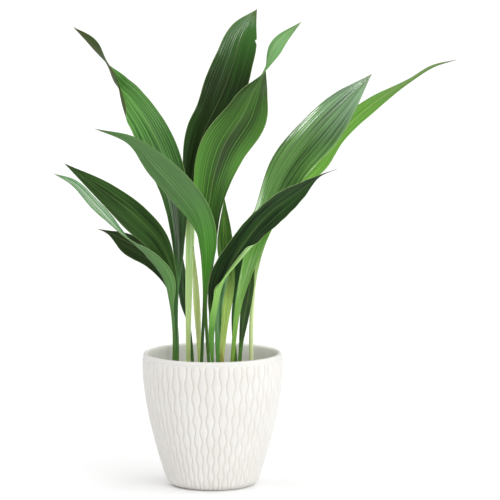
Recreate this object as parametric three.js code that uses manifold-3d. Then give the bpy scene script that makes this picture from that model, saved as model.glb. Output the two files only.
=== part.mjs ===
// A cast iron plant, Aspidistra elatior, in a white ceramic pot with a waved relief.
// Millimetres, +Z up. The origin is the centre of the pot's flat base.
// +Y points away from the viewer and +X to the viewer's right.
import * as THREE from 'three';
import { mergeVertices } from 'three/addons/utils/BufferGeometryUtils.js';
import Module from 'manifold-3d';

const wasm = await Module();
wasm.setup();

// Pot
const POT_HEIGHT = 183;
const POT_RADIUS = 94.8;
const POT_FOOT_RADIUS = 59;
const POT_SWELL_HEIGHT = 165;
const POT_SWELL_POWER = 1.65;
const FOOT_ROUND_HEIGHT = 9;
const FOOT_ROUND_DEPTH = 6;
const WALL = 5.4;
const FLOOR = 9;
// The inside follows the outside's swell from this much higher up
const OUTSIDE_LEAD = 4;
const LIP_BAND_FROM = 176;
// The lip is a plain band with a rounded upper edge: distance below the rim, and how far it is drawn in
const LIP_ROWS = [[4.6, -0.6], [1.4, 0.3], [0, 2]];
const MOUTH_EDGE = { below: 2, wall: 4.9, flaredWall: 3.4 };
const FLOOR_CORNER = { height: 10, depth: 5 };
const OVERSHOOT = 0.4;
const CAVITY_SIDES = 40;
const CAVITY_LEVELS = [FLOOR, FLOOR + 4, FLOOR + 10, 45, 80, 120, 145];
const CAVITY_TOP_LEVEL = 172;

// Waved relief on the outside of the pot: the waves are longest at the rim and shorten towards the foot.
// FIRST_WAVE is where the uppermost wave begins above the rim, in waves.
const GROOVES = 62;
const GROOVE_TURN = 0.68;
const WAVE_LENGTH = 39.5;
const WAVE_SHORTENING = 506;
const FIRST_WAVE = 0.42;
const WAVE_SWING = 0.17;
const RIDGE_HEIGHT = 1.3;
const RELIEF_FADE = 4;
const ROWS_PER_WAVE = 4;

// Soil
const SOIL_LEVEL = 148;
const SOIL_MOUND = 3;
const SOIL_RINGS = 6;
const SOIL_EDGE_BEVEL = 0.5;
const COARSE_LUMPS = { height: 1.4, inX: 0.23, inY: 0.19 };
const FINE_LUMPS = { height: 1, inX: 0.11, inY: 0.31 };
const FIT_GAP = 0.3;

// How deep the stalks stand in the soil, and the holes that they stand in
const STALK_DEPTH = 24;
const HOLE_CLEARANCE = 0.4;
const HOLE_ABOVE_SOIL = 14;

// A leaf's cross-section. Ratios are to the half width of its stalk: a stalk is thick in the middle
// and at the edges, and it flattens into the blade as that grows past FLAT_ABOVE_RATIO of it.
const RING_PLACES = [-1, -0.5, 0, 0.5, 1];
const MIDRIB_THICKNESS = 1.7;
const MARGIN_THICKNESS = 0.8;
const MIDRIB_ROUNDING = 0.2;
const TIP_HALF_WIDTH = 0.7;
const STALK_THICKNESS_RATIO = 1.7;
const STALK_EDGE_RATIO = 0.9;
const FLAT_ABOVE_RATIO = 2.5;
const FRAME_STEP = 0.002;

// A leaf's route is a smooth curve through its points, and each has seven numbers. The first three are
// x, y and z, and the fourth is the roll in degrees: at 0 the upper face looks at the viewer, at 90 to the
// viewer's right and at 180 away. Then come the blade's widths from the midrib to its left and its right
// margin, and the fold: how many degrees each half is raised towards the upper face.
// bladeFrom is the share of the length that is stalk, and stalk is its half width at the foot and the neck.
// ripple is the height of the waves in the blade's margins.
const USUAL_LEAF = {
  stalk: [2.3, 2.1],
  ripple: 1.2,
  waves: 3,
  rippleShift: 1.3,
  stalkSteps: 6,
  bladeSteps: 16,
};

// The leaves, each from its stalk in the soil to its tip
const LEAVES = [
  {
    name: 'leaf_upper_left',
    route: [[-50, 12, 148, -20, 0, 0, 14], [-49, 13, 253, -20, 0, 0, 20],
      [-46, 17, 322, -18, 8, 10, 32], [-51, 24, 393, -10, 18, 21, 22],
      [-77, 34, 471, 5, 27, 24, 15], [-114, 43, 529, 25, 19, 19, 30],
      [-133, 49, 549, 57, 13, 17, 56], [-144, 52, 574, 92, 11, 10, 8],
      [-167, 60, 604, 143, 8, 6, 12], [-191, 70, 624, 160, 0, 0, 10]],
    bladeFrom: 0.27,
  },
  {
    name: 'leaf_back_tall',
    route: [[-34, 26, 148, 5, 0, 0, 14], [-33, 27, 251, 5, 0, 0, 14], [-31, 31, 334, 5, 0, 0, 20],
      [-30, 40, 409, 5, 11, 10, 20], [-12, 58, 481, 5, 26, 26, 16], [0, 66, 506, 6, 26, 29, 14],
      [12, 74, 530, 8, 31, 31, 14], [29, 90, 575, 10, 29, 27.5, 14], [43, 104, 615, 18, 22, 21, 12],
      [61, 118, 646, 30, 0, 0, 10]],
    bladeFrom: 0.4, stalk: [3, 6],
  },
  {
    name: 'leaf_front_arching',
    route: [[-3, -20, 148, 180, 0, 0, 14], [-9, -22, 242, 180, 0, 0, 14],
      [-9, -28, 284, 180, 4, 4, 20], [-11, -42, 336, 175, 18, 5, 16],
      [-20, -66, 381, 172, 19.5, 16.5, 14], [-42, -92, 415, 175, 20.5, 18.5, 14],
      [-72, -120, 451, 185, 17, 15.5, 14], [-106, -146, 488, 200, 6.5, 6.5, 14],
      [-152, -168, 505, 215, 0, 0, 10]],
    bladeFrom: 0.24,
  },
  {
    name: 'leaf_centre_tall',
    route: [[-16, 2, 148, 0, 0, 0, 14], [-12, 4, 234, 0, 0, 0, 20], [-7, 8, 309, 0, 9, 10, 22],
      [-4, 12, 391, 0, 23, 20, 16], [14, 16, 462, 0, 32, 33, 14], [43, 18, 511, 10, 26, 34, 14],
      [57, 17, 541, 38, 24, 22, 14], [72, 14, 571, 92, 13, 13, 6], [86, 8, 604, 150, 12.5, 9, 14],
      [121, -4, 636, 165, 0, 0, 10]],
    bladeFrom: 0.17,
  },
  {
    name: 'leaf_small_rear',
    route: [[10, 14, 148, -10, 0, 0, 14], [16, 16, 215, -10, 2, 2, 14],
      [21.5, 24, 280, -10, 8, 9, 16], [18, 36, 327, -12, 11.5, 11.5, 14],
      [16, 54, 391, -15, 0, 0, 10]],
    bladeFrom: 0.45, stalk: [3, 5],
  },
  {
    name: 'leaf_right_glossy',
    route: [[25, -8, 148, 0, 0, 0, 14], [37, -6, 256, 0, 5, 5, 20], [56, -4, 321, 0, 13, 10, 20],
      [76, 0, 382, 5, 18.5, 20, 18], [104, 6, 438.5, 8, 27.5, 28, 16],
      [140.5, 14, 486, 8, 25.5, 33, 16], [177.5, 20, 524.5, 12, 18.5, 22.5, 14],
      [217.5, 24, 563, 20, 0, 0, 10]],
    bladeFrom: 0.2,
  },
  {
    name: 'leaf_right_backlit',
    route: [[53, 18, 148, 160, 0, 0, 14], [54, 22, 238, 160, 0, 0, 14],
      [59, 34, 289, 160, 2, 5, 14], [74, 50, 355, 165, 11, 13, 14], [117, 70, 420, 170, 21, 20, 14],
      [144, 80, 446, 170, 22, 20, 14], [171, 88, 471, 170, 12, 18, 14],
      [223, 100, 517, 165, 10, 10.5, 14], [274, 104, 549, 140, 3.2, 3.2, 10],
      [305, 104, 568, 130, 2.6, 2.6, 10], [338, 102, 577, 120, 0, 0, 10]],
    bladeFrom: 0.22, stalk: [3.3, 2.6], lime: true,
  },
  {
    name: 'leaf_front_right',
    route: [[1, -42, 148, -90, 0, 0, 30], [4, -44, 234, -90, 12, 11, 55],
      [16, -52, 290, -50, 20, 14, 50], [43, -68, 341, 0, 20, 12, 28],
      [78, -90, 386, 32, 24, 21, 16], [116, -114, 417, 40, 23, 12.5, 14],
      [144, -134, 440, 45, 2, 2, 10], [166, -150, 450, 50, 0, 0, 10]],
    bladeFrom: 0.2,
  },
  {
    name: 'leaf_left_dark',
    route: [[-52, -6, 148, -10, 0, 0, 14], [-50, -6, 235, -10, 0, 0, 20],
      [-53, -9, 291, -10, 8, 4.5, 22], [-72, -17, 338, -5, 18, 14.5, 16],
      [-103, -32, 374, 0, 22.5, 17.5, 14], [-141, -52, 407, 5, 15.5, 14.5, 14],
      [-197, -84, 451, 10, 0, 0, 10]],
    bladeFrom: 0.3,
  },
  {
    name: 'leaf_left_twisted',
    route: [[-53, -26, 148, 140, 0, 0, 14], [-53, -27, 224, 140, 0, 0, 14],
      [-56, -29.5, 252, 140, 4, 2, 14], [-62, -33, 283, 140, 13, 4.5, 16],
      [-85, -45, 321, 128, 14, 9, 14], [-126, -66, 358, 72, 4, 11, 10],
      [-158, -84, 394, 30, 5, 9, 10], [-185, -102, 425, 30, 2.5, 7, 10],
      [-209, -120, 441, 40, 0, 0, 10]],
    bladeFrom: 0.2,
  },
  {
    name: 'leaf_left_low',
    route: [[-49, 32, 148, 0, 0, 0, 14], [-50, 32, 216, 0, 0, 0, 14], [-58, 35, 265, 0, 4, 5, 20],
      [-82, 46, 307, 0, 15.5, 12, 16], [-117, 64, 327, 0, 16.5, 12, 14],
      [-148, 84, 339, 0, 1.5, 2.5, 10], [-160, 92, 342, 0, 0, 0, 10]],
    bladeFrom: 0.3,
  },
  {
    name: 'leaf_small_left',
    route: [[-27, 44, 148, 20, 0, 0, 14], [-33, 44, 214, 20, 0, 0, 14],
      [-40, 47, 250, 20, 7, 7, 14], [-42, 54, 275, 20, 7, 7, 14], [-41, 66, 303, 20, 0, 0, 10]],
    bladeFrom: 0.5, bladeSteps: 12,
  },
  {
    name: 'leaf_small_front',
    route: [[8, -14, 148, 20, 0, 0, 14], [7, -14, 209, 20, 3.5, 3.5, 14],
      [8, -12, 250, 20, 6.5, 6.5, 14], [16, -9, 291, 20, 6, 6, 14], [32, -4, 325, 20, 0, 0, 10]],
    bladeFrom: 0.3, bladeSteps: 12,
  },
  {
    name: 'leaf_rear_right',
    route: [[33, 38, 148, 175, 0, 0, 14], [29, 40, 243, 175, 0, 0, 14],
      [35, 48, 277, 175, 7, 7, 14], [51, 70, 322, 180, 16.5, 16.5, 14],
      [79, 104, 374, 180, 13.5, 13.5, 14], [107, 134, 420, 180, 0, 0, 10]],
    bladeFrom: 0.36,
  },
  {
    name: 'leaf_small_right',
    route: [[36, 6, 148, 0, 0, 0, 14], [39, 6, 192, 0, 2, 2, 14], [43.5, 7, 229, 0, 6, 6, 14],
      [50, 10, 271, 0, 7, 7, 14], [58, 18, 313, 0, 0, 0, 10]],
    bladeFrom: 0.25, bladeSteps: 12,
  },
].map((leaf) => ({ ...USUAL_LEAF, ...leaf }));

// Leaf sheaths: pale scale leaves that wrap the foot of a shoot, closed round it and pointed
const USUAL_SHEATH = { ripple: 0, stalkSteps: 3, bladeSteps: 8 };

const SHEATHS = [
  {
    name: 'sheath_tall',
    route: [[-17, 17, 148, 0, 0, 0, 0], [-19, 18, 200, 0, 3, 3, -25],
      [-22, 20, 250, 0, 4.8, 4.8, -25], [-24, 21, 290, 0, 3, 3, -25], [-26, 22, 326, 0, 0, 0, -25]],
    bladeFrom: 0.25, stalk: [1.8, 2.2],
  },
  {
    name: 'sheath_short',
    route: [[12, 3, 148, 0, 0, 0, 0], [12, 3, 165, 0, 4, 4, -25], [12.5, 4, 188, 0, 0, 0, -25]],
    bladeFrom: 0.2, stalk: [2, 2],
  },
].map((sheath) => ({ ...USUAL_LEAF, ...USUAL_SHEATH, ...sheath }));

const WHITE_GLAZE = { color: 0xece8df, roughness: 0.5, metalness: 0 };
const DARK_SOIL = { color: 0x3a2a1e, roughness: 0.95, metalness: 0 };
const LEAF_GREEN = { color: 0x2f6a2e, roughness: 0.4, metalness: 0 };
const LIME_GREEN = { color: 0x6fae3c, roughness: 0.45, metalness: 0 };
const SHEATH_BUFF = { color: 0xa9ad6a, roughness: 0.7, metalness: 0 };

const { PI, sin, cos, sqrt, max, min, abs } = Math;
const radians = (degrees) => (degrees * PI) / 180;

function closedMesh(positions, triangles) {
  const geometry = new THREE.BufferGeometry();
  geometry.setAttribute('position', new THREE.Float32BufferAttribute(positions, 3));
  geometry.setIndex(triangles);
  return geometry;
}

function toSolid(geometry) {
  const bare = geometry.clone();
  bare.deleteAttribute('normal');
  bare.deleteAttribute('uv');
  const merged = mergeVertices(bare, 1e-4);
  const vertProperties = new Float32Array(merged.attributes.position.array);
  const triVerts = new Uint32Array(merged.index.array);
  return new wasm.Manifold(new wasm.Mesh({ numProp: 3, vertProperties, triVerts }));
}

function toGeometry(solid) {
  const mesh = solid.getMesh();
  return closedMesh(Array.from(mesh.vertProperties), Array.from(mesh.triVerts));
}

// Radius of the pot's body at the bottom of its grooves, swelling from the foot to the lip
function bodyRadius(z) {
  const rise = max(0, 1 - z / POT_SWELL_HEIGHT);
  const swell = (POT_RADIUS - POT_FOOT_RADIUS) * rise ** POT_SWELL_POWER;
  const corner = max(0, 1 - z / FOOT_ROUND_HEIGHT);
  return POT_RADIUS - swell - FOOT_ROUND_DEPTH * corner ** 2;
}

// The number of whole waves from the uppermost wave's start down to a height
function wavesDownTo(z) {
  const below = POT_HEIGHT - z;
  return (below / WAVE_LENGTH) * (1 + below / WAVE_SHORTENING) - FIRST_WAVE;
}

function heightAfterWaves(waves) {
  const half = WAVE_SHORTENING / 2;
  return POT_HEIGHT + half - sqrt(half * half + WAVE_SHORTENING * WAVE_LENGTH * (waves + FIRST_WAVE));
}

// A groove's place round the pot, in groove spacings: neighbours swing opposite ways
function groovePlace(groove, z) {
  const side = groove % 2 === 0 ? 1 : -1;
  return groove + GROOVE_TURN + side * WAVE_SWING * cos(2 * PI * wavesDownTo(z));
}

// The raised cell between two grooves stands highest where it is widest, and fades at both ends
function ridgeHeight(groove, z) {
  const cellWidth = groovePlace(groove + 1, z) - groovePlace(groove, z);
  const fadeAtFoot = min(1, z / RELIEF_FADE);
  const fadeAtLip = min(1, max(0, (LIP_BAND_FROM - z) / RELIEF_FADE));
  return RIDGE_HEIGHT * sqrt(cellWidth) * fadeAtFoot * fadeAtLip;
}

// Heights of the rows of points, at the same four places in every wave
function potRows() {
  const rows = [LIP_BAND_FROM];
  for (let row = 0; heightAfterWaves(row / ROWS_PER_WAVE) > RELIEF_FADE; row += 1) {
    rows.push(heightAfterWaves(row / ROWS_PER_WAVE));
  }
  return [...rows, 0].reverse();
}

function potOutside() {
  const positions = [0, 0, 0];
  const triangles = [];
  const columns = GROOVES * 2;
  const rows = [];
  for (const z of potRows()) {
    const ring = [];
    for (let column = 0; column < columns; column += 1) {
      const groove = Math.floor(column / 2);
      const onRidge = column % 2 === 1;
      const here = groovePlace(groove, z);
      const place = onRidge ? (here + groovePlace(groove + 1, z)) / 2 : here;
      const radius = bodyRadius(z) + (onRidge ? ridgeHeight(groove, z) : 0);
      ring.push([radius, (2 * PI * place) / GROOVES, z]);
    }
    rows.push(ring);
  }
  for (const [below, drawnIn] of LIP_ROWS) {
    const ring = [];
    for (let column = 0; column < columns; column += 1) {
      const angle = (2 * PI * (column / 2 + GROOVE_TURN)) / GROOVES;
      ring.push([POT_RADIUS - drawnIn, angle, POT_HEIGHT - below]);
    }
    rows.push(ring);
  }
  for (const ring of rows) {
    for (const [radius, angle, z] of ring) {
      positions.push(radius * cos(angle), radius * sin(angle), z);
    }
  }
  positions.push(0, 0, POT_HEIGHT);
  const top = positions.length / 3 - 1;
  const at = (row, column) => 1 + row * columns + (column % columns);
  const last = rows.length - 1;
  for (let column = 0; column < columns; column += 1) {
    triangles.push(0, at(0, column + 1), at(0, column));
    triangles.push(top, at(last, column), at(last, column + 1));
    for (let row = 0; row < last; row += 1) {
      triangles.push(at(row, column), at(row, column + 1), at(row + 1, column + 1));
      triangles.push(at(row, column), at(row + 1, column + 1), at(row + 1, column));
    }
  }
  return closedMesh(positions, triangles);
}

// Radius of the space inside the pot
function cavityRadius(z) {
  const above = max(z, FLOOR) - FLOOR;
  const corner = FLOOR_CORNER.depth * max(0, 1 - above / FLOOR_CORNER.height) ** 2;
  return bodyRadius(FLOOR + above + OUTSIDE_LEAD) - WALL - corner;
}

function lathe(profile, sides) {
  const points = profile.map(([radius, z]) => new THREE.Vector2(radius, z));
  const geometry = new THREE.LatheGeometry(points, sides);
  geometry.rotateX(PI / 2);
  return geometry;
}

function potCavity() {
  const profile = [[0, FLOOR]];
  for (const z of [...CAVITY_LEVELS, CAVITY_TOP_LEVEL]) {
    profile.push([cavityRadius(z), z]);
  }
  profile.push([POT_RADIUS - MOUTH_EDGE.wall, POT_HEIGHT - MOUTH_EDGE.below]);
  profile.push([POT_RADIUS - MOUTH_EDGE.flaredWall, POT_HEIGHT + OVERSHOOT]);
  profile.push([0, POT_HEIGHT + OVERSHOOT]);
  return lathe(profile, CAVITY_SIDES);
}

function pot() {
  return toGeometry(toSolid(potOutside()).subtract(toSolid(potCavity())));
}

// The seven numbers at a share of the way along a route
function alongRoute(route, part) {
  const knots = [0];
  for (let i = 1; i < route.length; i += 1) {
    const [dx, dy, dz] = [0, 1, 2].map((axis) => route[i][axis] - route[i - 1][axis]);
    knots.push(knots[i - 1] + sqrt(dx * dx + dy * dy + dz * dz));
  }
  const where = part * knots[knots.length - 1];
  let span = 0;
  while (span < route.length - 2 && knots[span + 1] < where) {
    span += 1;
  }
  const chord = (i) => knots[i + 1] - knots[i];
  const steepness = (i, axis) => (route[i + 1][axis] - route[i][axis]) / chord(i);
  const slope = (i, axis) => {
    if (i === 0) {
      return steepness(0, axis);
    }
    if (i === route.length - 1) {
      return steepness(i - 1, axis);
    }
    const blend = steepness(i - 1, axis) * chord(i) + steepness(i, axis) * chord(i - 1);
    return blend / (chord(i - 1) + chord(i));
  };
  const t = (where - knots[span]) / chord(span);
  return route[0].map((_, axis) => {
    const from = route[span][axis];
    const to = route[span + 1][axis];
    const cubic = (2 * t ** 3 - 3 * t ** 2 + 1) * from + (3 * t ** 2 - 2 * t ** 3) * to;
    const bend = (t ** 3 - 2 * t ** 2 + t) * slope(span, axis) + (t ** 3 - t ** 2) * slope(span + 1, axis);
    return cubic + bend * chord(span);
  });
}

// The directions along the leaf, across it to its right margin, and out of its upper face
function leafFrame(route, part) {
  const ahead = alongRoute(route, min(1, part + FRAME_STEP));
  const behind = alongRoute(route, max(0, part - FRAME_STEP));
  const along = new THREE.Vector3(ahead[0] - behind[0], ahead[1] - behind[1], ahead[2] - behind[2]);
  along.normalize();
  const flat = new THREE.Vector3().crossVectors(along, new THREE.Vector3(0, -1, 0)).normalize();
  const across = flat.applyAxisAngle(along, radians(alongRoute(route, part)[3]));
  const upward = new THREE.Vector3().crossVectors(across, along);
  return { along, across, upward };
}

function stalkHalfWidth(leaf, part) {
  const up = min(1, max(0, part / leaf.bladeFrom));
  const fade = min(1, max(0, (part - leaf.bladeFrom) / (1 - leaf.bladeFrom)));
  const [foot, neck] = leaf.stalk;
  const widened = foot + (neck - foot) * up * up * (3 - 2 * up);
  return TIP_HALF_WIDTH + (widened - TIP_HALF_WIDTH) * (1 - fade) ** 2;
}

// One cross-section: the upper face from the left margin to the right, then the lower face back
function leafSection(leaf, part, extra) {
  const [left, right] = alongRoute(leaf.route, part).slice(4, 6).map((width) => max(0, width));
  const fold = radians(alongRoute(leaf.route, part)[6]);
  const stalk = stalkHalfWidth(leaf, part);
  const mean = (left + right) / 2;
  const broadest = max(...leaf.route.map((point) => (point[4] + point[5]) / 2));
  const flatness = min(1, mean / (FLAT_ABOVE_RATIO * stalk));
  const middle = STALK_THICKNESS_RATIO * stalk * (1 - flatness) + MIDRIB_THICKNESS * flatness + 2 * extra;
  const margin = STALK_EDGE_RATIO * stalk * (1 - flatness) + MARGIN_THICKNESS * flatness + 2 * extra;
  const offsets = RING_PLACES.map((u) => {
    const blade = u < 0 ? left : right;
    const reach = sqrt((blade * cos(fold)) ** 2 + stalk ** 2) + extra;
    const side = u < 0 ? leaf.rippleShift : 0;
    const wave = sin(2 * PI * leaf.waves * part + side) * abs(u) ** 3;
    const rounded = sqrt(u * u + MIDRIB_ROUNDING ** 2) - MIDRIB_ROUNDING;
    const lift = blade * sin(fold) * rounded + leaf.ripple * min(1, mean / broadest) * wave;
    const thickness = middle + (margin - middle) * u * u;
    return [u * reach, lift + thickness / 2, lift - thickness / 2];
  });
  const upper = offsets.map(([across, top]) => [across, top]);
  const lower = offsets.map(([across, , bottom]) => [across, bottom]);
  return { upper, lower };
}

function placeSection(section, origin, frame) {
  const place = ([across, up]) => origin.clone()
    .addScaledVector(frame.across, across)
    .addScaledVector(frame.upward, up);
  return { upper: section.upper.map(place), lower: section.lower.map(place) };
}

// Both faces are split into triangles along the same diagonals, so they never cross
function skin(rings) {
  const positions = [];
  const triangles = [];
  const count = RING_PLACES.length;
  for (const ring of rings) {
    for (const point of [...ring.upper, ...ring.lower]) {
      positions.push(point.x, point.y, point.z);
    }
  }
  const upper = (ring, j) => ring * count * 2 + j;
  const lower = (ring, j) => ring * count * 2 + count + j;
  const quad = (a, b, c, d) => triangles.push(a, b, c, a, c, d);
  for (let ring = 0; ring < rings.length - 1; ring += 1) {
    for (let j = 0; j < count - 1; j += 1) {
      quad(upper(ring, j), upper(ring, j + 1), upper(ring + 1, j + 1), upper(ring + 1, j));
      const [a, b, c, d] = [lower(ring, j), lower(ring, j + 1), lower(ring + 1, j + 1), lower(ring + 1, j)];
      triangles.push(a, c, b, a, d, c);
    }
    const end = count - 1;
    quad(lower(ring, 0), upper(ring, 0), upper(ring + 1, 0), lower(ring + 1, 0));
    quad(upper(ring, end), lower(ring, end), lower(ring + 1, end), upper(ring + 1, end));
  }
  const last = rings.length - 1;
  for (let j = 0; j < count - 1; j += 1) {
    quad(upper(0, j), lower(0, j), lower(0, j + 1), upper(0, j + 1));
    quad(upper(last, j), upper(last, j + 1), lower(last, j + 1), lower(last, j));
  }
  return closedMesh(positions, triangles);
}

function ringAt(leaf, part, extra = 0, drop = 0) {
  const frame = leafFrame(leaf.route, part);
  const [x, y, z] = alongRoute(leaf.route, part);
  const origin = new THREE.Vector3(x, y, z).addScaledVector(frame.along, drop);
  return placeSection(leafSection(leaf, part, extra), origin, frame);
}

function leafBody(leaf) {
  const rings = [ringAt(leaf, 0, 0, -STALK_DEPTH)];
  for (let step = 0; step < leaf.stalkSteps; step += 1) {
    rings.push(ringAt(leaf, (leaf.bladeFrom * step) / leaf.stalkSteps));
  }
  for (let step = 0; step <= leaf.bladeSteps; step += 1) {
    rings.push(ringAt(leaf, leaf.bladeFrom + ((1 - leaf.bladeFrom) * step) / leaf.bladeSteps));
  }
  return skin(rings);
}

function stalkHole(leaf) {
  const bottom = ringAt(leaf, 0, HOLE_CLEARANCE, -STALK_DEPTH - HOLE_CLEARANCE);
  const top = ringAt(leaf, 0, HOLE_CLEARANCE, HOLE_ABOVE_SOIL);
  return skin([bottom, top]);
}

// Crumbled potting soil: a low mound whose surface rises and falls by a few millimetres
function soilHeight(radius, angle) {
  const [x, y] = [radius * cos(angle), radius * sin(angle)];
  const inward = 1 - (radius / POT_RADIUS) ** 2;
  const coarse = COARSE_LUMPS.height * sin(x * COARSE_LUMPS.inX + 1) * cos(y * COARSE_LUMPS.inY);
  const fine = FINE_LUMPS.height * sin(x * FINE_LUMPS.inX - y * FINE_LUMPS.inY);
  return SOIL_LEVEL - SOIL_MOUND / 2 + (SOIL_MOUND + coarse + fine) * inward;
}

function soilBlock() {
  const positions = [];
  const triangles = [];
  const sides = CAVITY_SIDES;
  const levels = CAVITY_LEVELS.map((z) => max(z, FLOOR + FIT_GAP));
  const rings = levels.map((z) => Array.from({ length: sides }, () => [cavityRadius(z) - FIT_GAP, z]));
  for (let ring = 0; ring < SOIL_RINGS; ring += 1) {
    const radius = (cavityRadius(SOIL_LEVEL) - FIT_GAP - SOIL_EDGE_BEVEL) * (1 - ring / SOIL_RINGS);
    rings.push(Array.from({ length: sides }, (_, side) => {
      return [radius, soilHeight(radius, (2 * PI * side) / sides)];
    }));
  }
  rings.forEach((ring) => ring.forEach(([radius, z], side) => {
    const angle = (2 * PI * side) / sides;
    positions.push(radius * cos(angle), radius * sin(angle), z);
  }));
  positions.push(0, 0, FLOOR + FIT_GAP, 0, 0, soilHeight(0, 0));
  const bottom = positions.length / 3 - 2;
  const top = bottom + 1;
  const at = (ring, side) => ring * sides + (side % sides);
  const last = rings.length - 1;
  for (let side = 0; side < sides; side += 1) {
    triangles.push(bottom, at(0, side + 1), at(0, side));
    triangles.push(top, at(last, side), at(last, side + 1));
    for (let ring = 0; ring < last; ring += 1) {
      triangles.push(at(ring, side), at(ring, side + 1), at(ring + 1, side + 1));
      triangles.push(at(ring, side), at(ring + 1, side + 1), at(ring + 1, side));
    }
  }
  return closedMesh(positions, triangles);
}

// The stalks and sheaths stand in plain holes
function soil() {
  let solid = toSolid(soilBlock());
  for (const leaf of [...LEAVES, ...SHEATHS]) {
    solid = solid.subtract(toSolid(stalkHole(leaf)));
  }
  return toGeometry(solid);
}

function named(name, geometry, finish) {
  const mesh = new THREE.Mesh(geometry, new THREE.MeshStandardMaterial({ ...finish, flatShading: true }));
  mesh.name = name;
  return mesh;
}

const plant = new THREE.Group();
plant.add(named('pot', pot(), WHITE_GLAZE));
plant.add(named('soil', soil(), DARK_SOIL));
for (const leaf of LEAVES) {
  plant.add(named(leaf.name, leafBody(leaf), leaf.lime ? LIME_GREEN : LEAF_GREEN));
}
for (const sheath of SHEATHS) {
  plant.add(named(sheath.name, leafBody(sheath), SHEATH_BUFF));
}

export default plant;
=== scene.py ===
"""The looks of a potted cast iron plant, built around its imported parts. Metres, +Z up, the viewer at -Y."""
import math
from functools import partialmethod

import bpy
import numpy as np
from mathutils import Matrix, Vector


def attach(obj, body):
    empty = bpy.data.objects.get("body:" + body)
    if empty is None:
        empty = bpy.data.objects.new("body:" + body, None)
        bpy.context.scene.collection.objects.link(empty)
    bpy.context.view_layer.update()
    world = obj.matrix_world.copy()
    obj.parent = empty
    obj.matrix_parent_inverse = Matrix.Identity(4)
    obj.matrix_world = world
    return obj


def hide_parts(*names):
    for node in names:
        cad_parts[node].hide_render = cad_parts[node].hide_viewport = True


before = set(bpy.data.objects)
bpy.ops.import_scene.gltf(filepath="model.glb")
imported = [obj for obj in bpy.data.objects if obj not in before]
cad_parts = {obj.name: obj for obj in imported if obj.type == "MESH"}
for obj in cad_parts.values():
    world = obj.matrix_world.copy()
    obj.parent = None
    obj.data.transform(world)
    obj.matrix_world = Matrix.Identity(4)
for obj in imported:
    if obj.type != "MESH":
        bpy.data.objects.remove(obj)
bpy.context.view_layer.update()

MM = 0.001

# The camera stands where the photograph was taken from
CAMERA_PLACE = (0.0514, -5.0, 0.94)
CAMERA_AIM = (0.0514, 0.0, 0.324)
CAMERA_LENS = 265.5
CAMERA_SENSOR = 36.0

# The strength of the air's light, and of what gloss mirrors of it
AIR_LIGHT = 0.68
AIR_SHINE = 0.2

WHITE = (1.0, 1.0, 1.0)
# Soft suns, which don't show as gloss: name, power, width in degrees, direction towards it and colour
SUNS = (
    ("soft_sun", 0.6, 36.0, (1.0, -1.0, 0.9), (0.97, 0.985, 1.0)),
    ("front_light", 0.85, 40.0, (0.5, -1.0, 0.22), WHITE),
    ("top_light", 0.75, 50.0, (-0.6, 0.1, 1.0), WHITE),
    ("top_light", 0.75, 50.0, (0.6, 0.1, 1.0), WHITE),
)
# Small windows that only show as gloss: name, place, aim, width, height and power
WINDOWS = (
    ("window_low_right", (0.62, -0.06, 0.15), (0.14, 0.0, 0.48), 0.17, 0.18, 3.0),
    ("window_high_right", (0.72, -0.14, 0.64), (0.0, 0.07, 0.6), 0.16, 0.2, 2.4),
    ("window_front", (-0.18, -0.81, 0.36), (0.1, 0.0, 0.62), 0.16, 0.12, 3.0),
)

# The pot, in millimetres
POT_HEIGHT = 183.0
POT_RADIUS = 94.8
POT_FOOT_RADIUS = 59.0
POT_SWELL_HEIGHT = 165.0
POT_SWELL_POWER = 1.65
FOOT_ROUND_HEIGHT = 9.0
FOOT_ROUND_DEPTH = 6.0
WALL = 5.4
FLOOR = 9.0
# The inside at a height follows the outside this much higher up
OUTSIDE_LEAD = 4.0
FLOOR_CORNER_HEIGHT = 10.0
FLOOR_CORNER_DEPTH = 5.0
LIP_BAND_FROM = 177.4
# The lip is part of an ellipse, and turns through these degrees
LIP_MIDDLE = (92.3, 179.4)
LIP_HALF_SIZE = (2.75, 3.6)
LIP_TURN = (-30.0, 180.0)
LIP_STEPS = 12
BASE_RADII = (16.0, 34.0, 48.0)
INSIDE_FLOOR_RADII = (58.0, 30.0)
INSIDE_LEVELS = (176.0, 170.0, 164.0, 156.0, 146.0, 130.0, 105.0, 80.0, 55.0, 35.0, 24.0, 19.0, 15.0, 12.0,
                 10.0, 9.0)

# The waved relief round the pot
GROOVES = 62
GROOVE_TURN = 0.68
WAVE_LENGTH = 39.5
WAVE_SHORTENING = 506.0
FIRST_WAVE = 0.42
WAVE_SWING = 0.17
RIDGE_HEIGHT = 1.45
RIDGE_ROUNDNESS = 2.6
RELIEF_FADE = 3.0
CROWN_POWER = 0.8
VALLEY_POWER = 6
CELL_COLUMNS = (0.0, 0.06, 0.18, 0.34, 0.5, 0.66, 0.82, 0.94)
RELIEF_ROWS = 128

# The soil
SOIL_LEVEL = 148.0
SOIL_MOUND = 3.0
# Waves on the soil: heights in millimetres, and paces along x and y in radians to a millimetre
LUMP_HEIGHTS = (1.4, 1.0)
LUMP_PACES = ((0.23, 0.19), (0.11, 0.31))
GRAIN_HEIGHTS = (0.5, 0.4)
GRAIN_PACES = ((1.3, 0.9), (1.1, 1.7))
SOIL_RINGS = 44
SOIL_SIDES = 150
SOIL_GAP = 0.8
SOIL_FOOT_RADIUS = 20.0
SOIL_WALL_LEVELS = (FLOOR + 0.5, 30.0, 60.0, 100.0, 140.0)
INNERMOST_RING = 0.02
# Crumbs on the soil: how many to a square metre, their size in millimetres and their seed
PEAT_CRUMBS = (36000.0, 2.3, 3)
BARK_CHIPS = (5200.0, 3.0, 8)
BED_GAP = 3.0
BED_RINGS = 20
BED_SIDES = 60
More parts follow.
